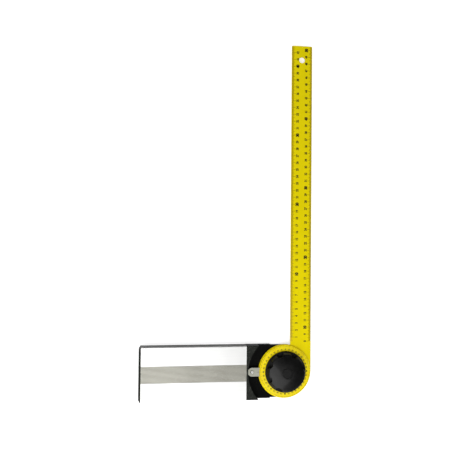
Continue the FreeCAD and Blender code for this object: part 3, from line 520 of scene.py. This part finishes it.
def drawn_aluminium(colour, groove):
    """Satin anodised extrusion: die lines, grooved bands greyed with painted shade, grooves darkened with
    painted shade, and side walls made near-black with painted shade.
    """
    # painted shade that greys the ridge tops of the grooved band
    painted_band_shade = (0.50, 0.49, 0.415, 1)
    # near-black painted shade for the side walls of the stock
    painted_wall_shade = (0.011, 0.012, 0.011, 1)
    bright_edge = (0.95, 0.95, 0.94, 1)
    deep = STOCK_HIGH.z / MILLIMETRE
    wall = STOCK_HIGH.y / MILLIMETRE
    material, net, shader, place = new_finish("stock aluminium", colour, 0.48, Metallic=1.0)
    lines = net.effect("tool streaks", Place=place, Along=(0.012, 1.0, 1.0), Width=0.22)
    hands = net.effect("handling", Place=place, Patch=34.0)
    worn = net.effect("rubbed edges", Place=place, Reach=0.0005, Break=0.52)["Mask"]
    where = net.parts(place)
    off_middle = net.math("ABSOLUTE", where["Y"])
    depth = net.math("MINIMUM", where["Z"], net.math("SUBTRACT", deep, where["Z"]))
    low = net.math("MULTIPLY", net.spread(depth, 0.03, 0.30), net.spread(depth, 0.7, 0.9, 1.0, 0.0))
    # inside: mask of the grooves, which take painted shade
    groove_shade_mask = net.math("MULTIPLY", low, net.spread(off_middle, BAND_HALF + 0.1, BAND_HALF + 0.3, 1.0, 0.0))
    # band: mask of the grooved band, greyed with painted shade
    band = net.spread(off_middle, BAND_HALF - 0.3, BAND_HALF, 1.0, 0.0)
    # side: mask of the side walls, which take the painted shade
    side = net.math("MULTIPLY", net.spread(off_middle, wall - 0.8, wall - 0.5), net.spread(depth, 0.4, 0.7))
    tone = net.blend(net.math("MULTIPLY", lines["Bands"], 0.30), colour, toned(colour, 0.90))
    tone = net.blend(net.math("MULTIPLY", hands["Patches"], 0.20), tone, toned(colour, 0.94))
    tone = net.blend(net.math("MULTIPLY", band, 0.85), tone, painted_band_shade)
    tone = net.blend(groove_shade_mask, tone, groove)
    tone = net.blend(side, tone, painted_wall_shade)
    net.feed(shader.inputs["Base Color"], net.blend(worn, tone, bright_edge))
    rough = net.math("MULTIPLY_ADD", hands["Patches"], 0.06, 0.46)
    rough = net.math("ADD", rough, net.math("MULTIPLY", groove_shade_mask, 0.2))
    net.feed(shader.inputs["Roughness"], net.math("SUBTRACT", rough, net.math("MULTIPLY", worn, 0.10)))
    bump(net, shader, (lines["Height"], 0.30, 0.00003), (hands["Scuffs"], 0.10, 0.00002))
    return material


def textured_moulding(colour):
    """Black plastic from a spark-eroded mould: pebbled, and on its front face greyer with light specks."""
    front_face = (0.023, 0.0245, 0.0215, 1)
    light_specks = (0.135, 0.142, 0.124, 1)
    hand_polish = (0.006, 0.0062, 0.0056, 1)
    grey_edge = (0.06, 0.062, 0.055, 1)
    top = STOCK_HIGH.z / MILLIMETRE
    material, net, shader, place = new_finish("black moulding", colour, 0.55, Specular_IOR_Level=0.04)
    grain = net.effect("moulded grain", Place=place, Size=1.15)
    hands = net.effect("handling", Place=place, Patch=14.0)
    worn = net.effect("rubbed edges", Place=place, Reach=0.0006, Break=0.48)["Mask"]
    high = net.spread(net.parts(place)["Z"], top - 0.8, top - 0.1)
    specks = net.math("MULTIPLY", grain["Specks"], net.math("MULTIPLY_ADD", high, 0.85, 0.06))
    tone = net.blend(net.math("MULTIPLY", high, 0.8), colour, front_face)
    tone = net.blend(specks, tone, light_specks)
    tone = net.blend(net.math("MULTIPLY", hands["Patches"], 0.15), tone, hand_polish)
    net.feed(shader.inputs["Base Color"], net.blend(net.math("MULTIPLY", worn, 0.4), tone, grey_edge))
    rough = net.math("MULTIPLY_ADD", grain["Specks"], 0.12, 0.48)
    net.feed(shader.inputs["Roughness"], net.math("SUBTRACT", rough, net.math("MULTIPLY", worn, 0.15)))
    bump(net, shader, (grain["Height"], 0.55, 0.00014))
    return material


def polished_moulding(colour):
    """Black knob moulding: a polished crown, a matter grip, finger marks and greyer rubbed edges."""
    crown_reach = 24.2  # millimetres from the pivot axis, where the polish ends
    grip_reach = 25.6  # and where the matter grip begins
    finger_marks = (0.0025, 0.0025, 0.0022, 1)
    grey_edge = (0.05, 0.05, 0.048, 1)
    material, net, shader, place = new_finish("knob moulding", colour, 0.30, Specular_IOR_Level=0.26,
                                              Coat_Roughness=0.08)
    hands = net.effect("handling", Place=place, Patch=7.0)
    grain = net.effect("moulded grain", Place=place, Size=1.4)
    worn = net.effect("rubbed edges", Place=place, Reach=0.0005, Break=0.55)["Mask"]
    tone = net.blend(net.math("MULTIPLY", hands["Patches"], 0.4), colour, finger_marks)
    net.feed(shader.inputs["Base Color"], net.blend(net.math("MULTIPLY", worn, 0.4), tone, grey_edge))
    grip = net.spread(net.from_axis(place), crown_reach, grip_reach)
    rough = net.math("MULTIPLY_ADD", hands["Patches"], 0.06, net.math("MULTIPLY_ADD", grip, 0.22, 0.34))
    net.feed(shader.inputs["Roughness"], net.math("MULTIPLY_ADD", hands["Scuffs"], 0.10, rough))
    net.feed(shader.inputs["Coat Weight"], net.math("MULTIPLY", net.math("SUBTRACT", 1.0, grip), 0.15))
    bump(net, shader, (grain["Height"], 0.06, 0.00006))
    return material


def plated_steel(colour):
    """Zinc plated steel: bright, with a cloudy passivation."""
    material, net, shader, place = new_finish("zinc plate", colour, 0.30, Metallic=1.0)
    grain = net.effect("moulded grain", Place=place, Size=0.8)
    hands = net.effect("handling", Place=place, Patch=2.5)
    cloudy = toned(colour, 0.82, 0.82, 0.78)
    net.feed(shader.inputs["Base Color"], net.blend(hands["Patches"], cloudy, colour))
    net.feed(shader.inputs["Roughness"], net.math("MULTIPLY_ADD", grain["Specks"], 0.15, 0.26))
    bump(net, shader, (grain["Height"], 0.12, 0.00003))
    return material


def turned_metal(name, colour, roughness, pitch):
    """Metal from a lathe or a stamped ring: fine rings round the pivot axis and an uneven polish."""
    material, net, shader, place = new_finish(name, colour, roughness, Metallic=1.0)
    rings = net.effect("turned lines", Place=place, Pitch=pitch)["Height"]
    hands = net.effect("handling", Place=place, Patch=4.0)
    net.feed(shader.inputs["Base Color"], net.blend(hands["Patches"], toned(colour, 0.86), colour))
    net.feed(shader.inputs["Roughness"], net.math("MULTIPLY_ADD", hands["Patches"], 0.12, roughness - 0.06))
    bump(net, shader, (rings, 0.20, 0.00003))
    return material


def pressed_fibre(colour):
    """Vulcanised fibre: matt red-brown with short darker fibres."""
    material, net, shader, place = new_finish("fibre", colour, 0.75, Specular_IOR_Level=0.25)
    fibres = net.effect("tool streaks", Place=place, Along=(0.25, 1.0, 1.0), Width=0.25)
    hands = net.effect("handling", Place=place, Patch=6.0)
    tone = net.blend(fibres["Height"], toned(colour, 0.6), colour)
    tone = net.blend(net.math("MULTIPLY", hands["Patches"], 0.4), tone, toned(colour, 0.75))
    net.feed(shader.inputs["Base Color"], tone)
    net.feed(shader.inputs["Roughness"], net.math("MULTIPLY_ADD", fibres["Height"], 0.15, 0.66))
    bump(net, shader, (fibres["Height"], 0.35, 0.00005))
    return material


def matt_silver(colour):
    """Matt silver pointer: bead-blasted, brighter at its rubbed edges."""
    bright_edge = (0.8, 0.8, 0.78, 1)
    material, net, shader, place = new_finish("pointer silver", colour, 0.45, Metallic=0.9)
    grain = net.effect("moulded grain", Place=place, Size=0.25)
    worn = net.effect("rubbed edges", Place=place, Reach=0.0003, Break=0.45)["Mask"]
    tone = net.blend(net.math("MULTIPLY", grain["Specks"], 0.4), colour, toned(colour, 0.75))
    net.feed(shader.inputs["Base Color"], net.blend(worn, tone, bright_edge))
    net.feed(shader.inputs["Roughness"], net.math("MULTIPLY_ADD", grain["Specks"], 0.12, 0.42))
    bump(net, shader, (grain["Height"], 0.25, 0.00004))
    return material


def printed_ink(colour):
    """Screen-printed ink: brown-black, and yellower where it is thin."""
    thin_ink = (0.10, 0.075, 0.006, 1)
    material, net, shader, place = new_finish("scale ink", colour, 0.45, Specular_IOR_Level=0.3)
    thin = net.spread(net.noise(place, 1.3, 4.0, 0.6), 0.50, 0.72)
    net.feed(shader.inputs["Base Color"], net.blend(net.math("MULTIPLY", thin, 0.55), colour, thin_ink))
    net.feed(shader.inputs["Roughness"], net.math("MULTIPLY_ADD", thin, 0.2, 0.40))
    bump(net, shader, (thin, 0.1, 0.00001))
    return material


def finish_of(name, maker, *values):
    """The finish of that name, made once."""
    return bpy.data.materials.get(name) or maker(*values)


def turned(name, colour, roughness, pitch):
    """A turned metal of that name, made once. pitch is the distance between its rings in millimetres."""
    return finish_of(name, turned_metal, name, tuple(colour), roughness, pitch)


def bright_steel(tones):
    """Steel of the rivets and the bush."""
    return turned("bright steel", tones.steel, roughness=0.28, pitch=0.15)


def dress(material, *nodes):
    """Gives CAD nodes their finish."""
    for name in nodes:
        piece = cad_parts[name]
        for slot in piece.material_slots:
            slot.material = material


# ------------------------------------------------------------- graduations

def number_shape(text, weight):
    """Outline of a number, one unit high and centred: (points, faces)."""
    curve = bpy.data.curves.new("number", "FONT")
    curve.body = text
    curve.offset = weight
    curve.resolution_u = 3
    curve.space_character = 0.92
    holder = bpy.data.objects.new("number", curve)
    mesh = bpy.data.meshes.new_from_object(holder)
    xs, ys = [v.co.x for v in mesh.vertices], [v.co.y for v in mesh.vertices]
    middle = Vector(((min(xs) + max(xs)) / 2, (min(ys) + max(ys)) / 2))
    high = max(ys) - min(ys)
    points = [(v.co.to_2d() - middle) / high for v in mesh.vertices]
    faces = [tuple(f.vertices) for f in mesh.polygons]
    bpy.data.objects.remove(holder)
    bpy.data.meshes.remove(mesh)
    bpy.data.curves.remove(curve)
    return points, faces


def lay_number(work, text, centre, right, up, high, weight, narrow):
    """Lays a number on a flat face, with its own right and up."""
    points, faces = number_shape(text, weight)
    marks = [work.verts.new(centre + (right * (p.x * narrow) + up * p.y) * high) for p in points]
    for face in faces:
        work.faces.new([marks[i] for i in face])


def lay_line(work, stops, side, width):
    """Lays a line of that width through the stops, which may go over a fold of the face."""
    half = side * width / 2
    pairs = [(work.verts.new(p - half), work.verts.new(p + half)) for p in stops]
    for (a, b), (c, d) in zip(pairs, pairs[1:]):
        work.faces.new((a, c, d, b))


def inked(name, work, body, material):
    """Turns a sheet of marks into a piece that rides on a body."""
    for face in work.faces:
        face.normal_update()
        if face.normal.z < 0:
            face.normal_flip()
    mesh = bpy.data.meshes.new(name)
    work.to_mesh(mesh)
    work.free()
    piece = bpy.data.objects.new(name, mesh)
    bpy.context.collection.objects.link(piece)
    mesh.materials.append(material)
    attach(piece, body)


def rule_marks(scales, edge, inward, zero, first, last):
    """One scale of the blade: (lines, numbers) as two sheets of marks.

    edge is the x of the blade's edge, and inward the way from there to the face, 1 or -1.
    """
    lines, numbers = bmesh.new(), bmesh.new()
    face = BLADE_HIGH.z + INK_LIFT
    tip = BLADE_HIGH.y - scales.tip_room
    along, outward = Vector((0, 1, 0)), Vector((-1, 0, 0))
    # a millimetre at a time, up to the next centimetre or the tip
    for step in range(first * 10, (last + 1) * 10):
        y = zero + step * MILLIMETRE
        if y > tip:
            break
        whole, half = step % 10 == 0, step % 5 == 0
        reach = scales.bevel * scales.line_share
        if half:
            reach = scales.line_long if whole else scales.bevel + scales.line_past
        reaches = [scales.edge_room, scales.bevel, reach] if half else [scales.edge_room, reach]
        stops = []
        for r in reaches:
            sunk = scales.drop * (1 - r / scales.bevel) if r < scales.bevel else 0.0
            stops.append(Vector((edge + inward * r, y, face - sunk)))
        lay_line(lines, stops, along, scales.line * (scales.bold_line if whole else 1.0))
    for number in range(first, last + 1):
        centre = Vector((edge + inward * scales.number_inset, zero + number * CENTIMETRE, face))
        bold = number % 10 == 0
        high = scales.number_high * (scales.bold_number if bold else 1.0)
        weight = scales.bold_weight if bold else scales.weight
        lay_number(numbers, str(number), centre, along, outward, high, weight, scales.narrow)
    return lines, numbers


def dial_marks(scale):
    """The degree scale, 0 along the blade and 90 across it: (lines, numbers) as two sheets of marks."""
    lines, numbers = bmesh.new(), bmesh.new()
    level = Vector((0, 0, DIAL_HIGH.z + INK_LIFT))
    for degree in range(360):
        turn = math.radians(degree)
        out = Vector((math.cos(turn), math.sin(turn), 0))
        side = Vector((-math.sin(turn), math.cos(turn), 0))
        long, width = scale.line_short, scale.line
        if degree % 5 == 0:
            long = scale.line_middle
        if degree % 10 == 0:
            long, width = scale.line_long, scale.line * scale.bold_line
        stops = [out * (scale.line_outer - long) + level, out * scale.line_outer + level]
        lay_line(lines, stops, side, width)
        if degree % 10 == 0:
            reading = abs((degree + 90) % 360 - 180)
            weight = scale.quarter_weight if reading % 90 == 0 else scale.weight
            narrow = scale.narrow_hundreds if reading >= 100 else scale.narrow
            lay_number(numbers, str(reading), out * scale.number_ring + level, -side, out,
                       scale.number_high, weight, narrow)
    return lines, numbers


def index_mark(scale):
    """The line on the pointer, as a sheet of marks."""
    work = bmesh.new()
    face = POINTER_HIGH.z + INK_LIFT
    tip = POINTER_HIGH.x - scale.index_room
    stops = [Vector((tip - scale.index_long, 0, face)), Vector((tip, 0, face))]
    lay_line(work, stops, Vector((0, 1, 0)), scale.index_wide)
    return work


# --------------------------------------------------------------- operators

class PROTRACTOR_OT_studio(bpy.types.Operator):
    """Floor, surroundings, lamps and camera"""
    bl_idname = "protractor.studio"
    bl_label = "Studio"

    def execute(self, context):
        studio = context.scene.protractor_studio
        scene = context.scene
        scene.view_settings.view_transform = "Standard"
        self.floor(studio)
        self.surroundings(scene, studio)
        self.lamp("key_lamp", studio.key, studio.key_size, studio.key_place, studio.key_aim)
        self.lamp("fill_lamp", studio.fill, studio.fill_size, studio.fill_place, studio.fill_aim)
        self.camera(scene, studio)
        return {"FINISHED"}

    def floor(self, studio):
        """A sheet of paper just under the protractor."""
        half = studio.floor_size / 2
        corners = [(-half, -half, 0), (half, -half, 0), (half, half, 0), (-half, half, 0)]
        mesh = bpy.data.meshes.new("floor")
        mesh.from_pydata(corners, [], [(0, 1, 2, 3)])
        floor = bpy.data.objects.new("floor", mesh)
        floor.location.z = CAD_BOX[0].z - studio.floor_drop
        bpy.context.collection.objects.link(floor)
        mesh.materials.append(self.paper(studio))

    def paper(self, studio):
        """White paper that can be seen through from below."""
        material = bpy.data.materials.new("floor paper")
        material.use_nodes = True
        net = Net(material.node_tree)
        net.tree.nodes.clear()
        rays = net.add("LightPath").outputs
        bent = net.math("MAXIMUM", rays["Is Glossy Ray"], rays["Is Transmission Ray"])
        seen = net.math("MAXIMUM", rays["Is Camera Ray"], bent)
        glow = net.math("MULTIPLY", seen, studio.floor_glow)
        paper = net.add("BsdfPrincipled", {"Base Color": (0.85, 0.85, 0.85, 1), "Roughness": 0.9,
                                           "Emission Color": (1, 1, 1, 1), "Emission Strength": glow})
        paper.inputs["Specular IOR Level"].default_value = 0.1
        clear = net.add("BsdfTransparent")
        back = net.add("NewGeometry").outputs["Backfacing"]
        both = net.add("MixShader", {0: back, 1: paper.outputs[0], 2: clear.outputs[0]})
        net.add("OutputMaterial", {"Surface": both.outputs[0]})
        return material

    def surroundings(self, scene, studio):
        """A room that is white to the eye. Glossy surfaces see it bright low down on the window's side."""
        world = bpy.data.worlds.new("room")
        world.use_nodes = True
        scene.world = world
        net = Net(world.node_tree)
        net.tree.nodes.clear()
        rays = net.add("LightPath").outputs
        way = net.add("TexCoord").outputs["Generated"]
        window = net.spread(net.vector("DOT_PRODUCT", way, studio.window), -0.6, 0.6, 0.12, 1.0)
        low_down = net.spread(net.parts(way)["Z"], 0.10, 0.70, 1.0, 0.08)
        gloss = net.math("MULTIPLY", rays["Is Glossy Ray"], net.math("MULTIPLY", low_down, window))
        shown = net.math("MAXIMUM", rays["Is Camera Ray"], rays["Is Transmission Ray"])
        lit = net.math("ADD", shown, gloss, clamp=True)
        any_seen = net.math("MAXIMUM", shown, rays["Is Glossy Ray"])
        rest = net.math("MULTIPLY", net.math("SUBTRACT", 1.0, any_seen), studio.around)
        room = net.add("Background", {"Color": (1, 1, 1, 1), "Strength": net.math("ADD", lit, rest)})
        net.add("OutputWorld", {"Surface": room.outputs[0]})

    def lamp(self, name, power, size, place, aim):
        """A square soft lamp that hangs at place and is turned to aim."""
        light = bpy.data.lights.new(name, "AREA")
        light.energy = power
        light.size = size
        lamp = bpy.data.objects.new(name, light)
        lamp.location = place
        lamp.rotation_euler = (Vector(aim) - Vector(place)).to_track_quat("-Z", "Y").to_euler()
        bpy.context.collection.objects.link(lamp)

    def camera(self, scene, studio):
        """The camera, set from the turn and the stand that the protractor has as it sees them."""
        eye = bpy.data.cameras.new("front_camera")
        eye.lens = studio.lens
        eye.clip_start = 0.02
        eye.clip_end = 40
        camera = bpy.data.objects.new("front_camera", eye)
        back = Euler(studio.turn, "XYZ").to_matrix().transposed()
        camera.matrix_world = back.to_4x4()
        camera.location = back @ -Vector(studio.stand) + Vector((0, 0, studio.pivot_high))
        bpy.context.collection.objects.link(camera)
        scene.camera = camera


class PROTRACTOR_OT_stock(bpy.types.Operator):
    """Finish of the hollow stock, its end cap and its screws"""
    bl_idname = "protractor.stock"
    bl_label = "Stock"

    def execute(self, context):
        tones = context.scene.protractor_finishes
        ready_effects()
        dress(finish_of("stock aluminium", drawn_aluminium, tuple(tones.aluminium), tuple(tones.groove)),
              "stock_extrusion")
        dress(finish_of("black moulding", textured_moulding, tuple(tones.moulding)), "end_cap")
        dress(finish_of("zinc plate", plated_steel, tuple(tones.zinc)), "end_cap_screws")
        return {"FINISHED"}


class PROTRACTOR_OT_head(bpy.types.Operator):
    """Finish of the pivot head, its cover and screws, and of the pointer with its index line"""
    bl_idname = "protractor.head"
    bl_label = "Pivot head and pointer"

    def execute(self, context):
        tones = context.scene.protractor_finishes
        ready_effects()
        dress(finish_of("black moulding", textured_moulding, tuple(tones.moulding)), "pivot_head",
              "rear_cover")
        dress(finish_of("zinc plate", plated_steel, tuple(tones.zinc)), "head_screws", "pointer_screw")
        dress(finish_of("pointer silver", matt_silver, tuple(tones.pointer)), "pointer")
        ink = finish_of("scale ink", printed_ink, tuple(tones.ink))
        inked("pointer_line", index_mark(context.scene.protractor_dial), "stock", ink)
        return {"FINISHED"}


class PROTRACTOR_OT_rule(bpy.types.Operator):
    """Lacquer of the blade with its two centimetre scales"""
    bl_idname = "protractor.rule"
    bl_label = "Blade and scales"

    def execute(self, context):
        scales = context.scene.protractor_rule
        tones = context.scene.protractor_finishes
        ready_effects()
        dress(finish_of("rule lacquer", lacquered_rule, tuple(tones.lacquer)), "blade")
        ink = finish_of("scale ink", printed_ink, tuple(tones.ink))
        outer = BLADE_HIGH.x
        lines, numbers = rule_marks(scales, outer, -1, scales.outer_zero, scales.outer_first,
                                    scales.outer_last)
        inked("outer_scale_lines", lines, "blade", ink)
        inked("outer_scale_numbers", numbers, "blade", ink)
        inner = outer - scales.width
        lines, numbers = rule_marks(scales, inner, 1, scales.inner_zero, scales.inner_first,
                                    scales.inner_last)
        inked("inner_scale_lines", lines, "blade", ink)
        inked("inner_scale_numbers", numbers, "blade", ink)
        return {"FINISHED"}


class PROTRACTOR_OT_dial(bpy.types.Operator):
    """Finish of the dial and its rivets, with its degree scale"""
    bl_idname = "protractor.dial"
    bl_label = "Dial"

    def execute(self, context):
        tones = context.scene.protractor_finishes
        ready_effects()
        dress(finish_of("dial moulding", moulded_dial, tuple(tones.dial)), "dial_plate")
        dress(bright_steel(tones), "dial_rivets")
        ink = finish_of("scale ink", printed_ink, tuple(tones.ink))
        lines, numbers = dial_marks(context.scene.protractor_dial)
        inked("dial_lines", lines, "blade", ink)
        inked("dial_numbers", numbers, "blade", ink)
        return {"FINISHED"}


class PROTRACTOR_OT_clamp(bpy.types.Operator):
    """Finish of the knob, its cap and insert, the bolt, the bush and the washers"""
    bl_idname = "protractor.clamp"
    bl_label = "Pivot and clamp"

    def execute(self, context):
        tones = context.scene.protractor_finishes
        ready_effects()
        dress(finish_of("knob moulding", polished_moulding, tuple(tones.knob)), "knob", "knob_cap")
        dress(turned("brass", tones.brass, roughness=0.25, pitch=0.12), "knob_insert")
        dress(finish_of("zinc plate", plated_steel, tuple(tones.zinc)), "clamp_bolt", "clamp_washer")
        dress(bright_steel(tones), "pivot_bush")
        dress(turned("spring steel", tones.spring, roughness=0.32, pitch=0.4), "spring_washer")
        dress(finish_of("fibre", pressed_fibre, tuple(tones.fibre)), "lower_friction_washer",
              "upper_friction_washer")
        return {"FINISHED"}


class PROTRACTOR_PT_pieces(bpy.types.Panel):
    """Pieces of the protractor and their sizes"""
    bl_label = "Bevel protractor"
    bl_idname = "PROTRACTOR_PT_pieces"
    bl_space_type = "VIEW_3D"
    bl_region_type = "UI"
    bl_category = "Protractor"

    def draw(self, context):
        for operator, group in STEPS:
            box = self.layout.box()
            box.operator(operator.bl_idname)
            if group:
                settings = getattr(context.scene, group)
                for name in settings.bl_rna.properties.keys():
                    if name not in ("rna_type", "name"):
                        box.prop(settings, name)


STEPS = (
    (PROTRACTOR_OT_studio, "protractor_studio"),
    (PROTRACTOR_OT_stock, "protractor_finishes"),
    (PROTRACTOR_OT_head, None),
    (PROTRACTOR_OT_rule, "protractor_rule"),
    (PROTRACTOR_OT_dial, "protractor_dial"),
    (PROTRACTOR_OT_clamp, None),
)
GROUPS = {"protractor_rule": RuleScales, "protractor_dial": DialScale, "protractor_finishes": Finishes,
          "protractor_studio": Studio}


def register():
    for name, group in GROUPS.items():
        bpy.utils.register_class(group)
        setattr(bpy.types.Scene, name, PointerProperty(type=group))
    for operator, _ in STEPS:
        bpy.utils.register_class(operator)
    bpy.utils.register_class(PROTRACTOR_PT_pieces)


def unregister():
    bpy.utils.unregister_class(PROTRACTOR_PT_pieces)
    for operator, _ in reversed(STEPS):
        bpy.utils.unregister_class(operator)
    for name, group in GROUPS.items():
        delattr(bpy.types.Scene, name)
        bpy.utils.unregister_class(group)


def main():
    register()
    bpy.ops.protractor.studio()
    bpy.ops.protractor.stock()
    bpy.ops.protractor.head()
    bpy.ops.protractor.rule()
    bpy.ops.protractor.dial()
    bpy.ops.protractor.clamp()


if __name__ == "__main__":
    main()
